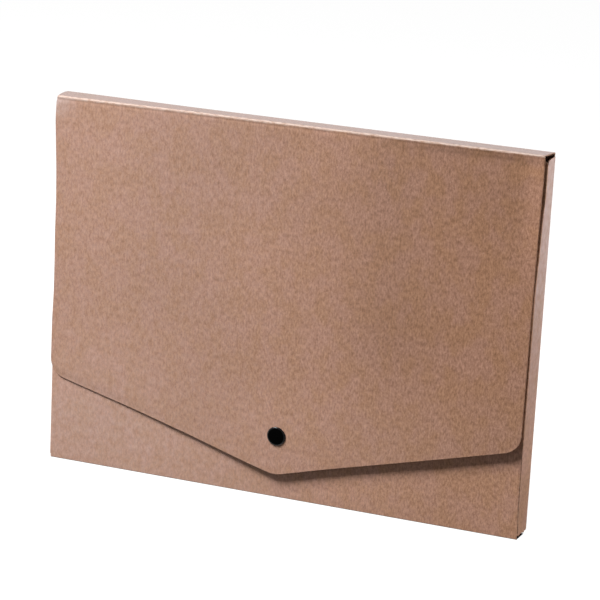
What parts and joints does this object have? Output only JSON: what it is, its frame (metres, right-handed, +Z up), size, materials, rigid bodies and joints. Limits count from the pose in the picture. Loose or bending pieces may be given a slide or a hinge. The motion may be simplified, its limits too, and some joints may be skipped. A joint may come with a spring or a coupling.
{
  "type": "cardboard folder",
  "caption": "Shallow cardboard document folder with a creased top spine and a V-edged closing flap held by a black press stud.",
  "frame": {"origin": "centre of the closed folder's footprint on the table that it stands on", "axes": "+X towards the folder's right end seen from the front, +Y from the flap to the back panel, +Z up"},
  "size_m": [0.32, 0.0212, 0.241],
  "materials": {
    "board": "matt recycled kraft board with fine fibres and darker flecks, paler along its worn creases and cut edges",
    "stud_plastic": "smooth black moulded plastic with a soft shine"
  },
  "bodies": {
    "box": {"back_panel": "board", "rear_bottom_crease": "board", "bottom_spine": "board", "front_bottom_crease": "board", "front_panel": "board", "left_side_wall": "board", "right_side_wall": "board", "left_glue_tab": "board", "right_glue_tab": "board", "snap_stud": "stud_plastic", "snap_rear_cap": "stud_plastic"},
    "top_spine": {"top_spine": "board"},
    "flap": {"closing_flap": "board", "snap_cap": "stud_plastic", "snap_socket": "stud_plastic"}
  },
  "joints": [
    {"name": "rear_top_crease", "type": "hinge", "parent": "box", "child": "top_spine", "pos_m": [0, 0.00941, 0.2398], "axis": [-1, 0, 0], "range_deg": [0, 120]},
    {"name": "front_top_crease", "type": "hinge", "parent": "top_spine", "child": "flap", "pos_m": [0, -0.00599, 0.2398], "axis": [-1, 0, 0], "range_deg": [0, 120]}
  ]
}
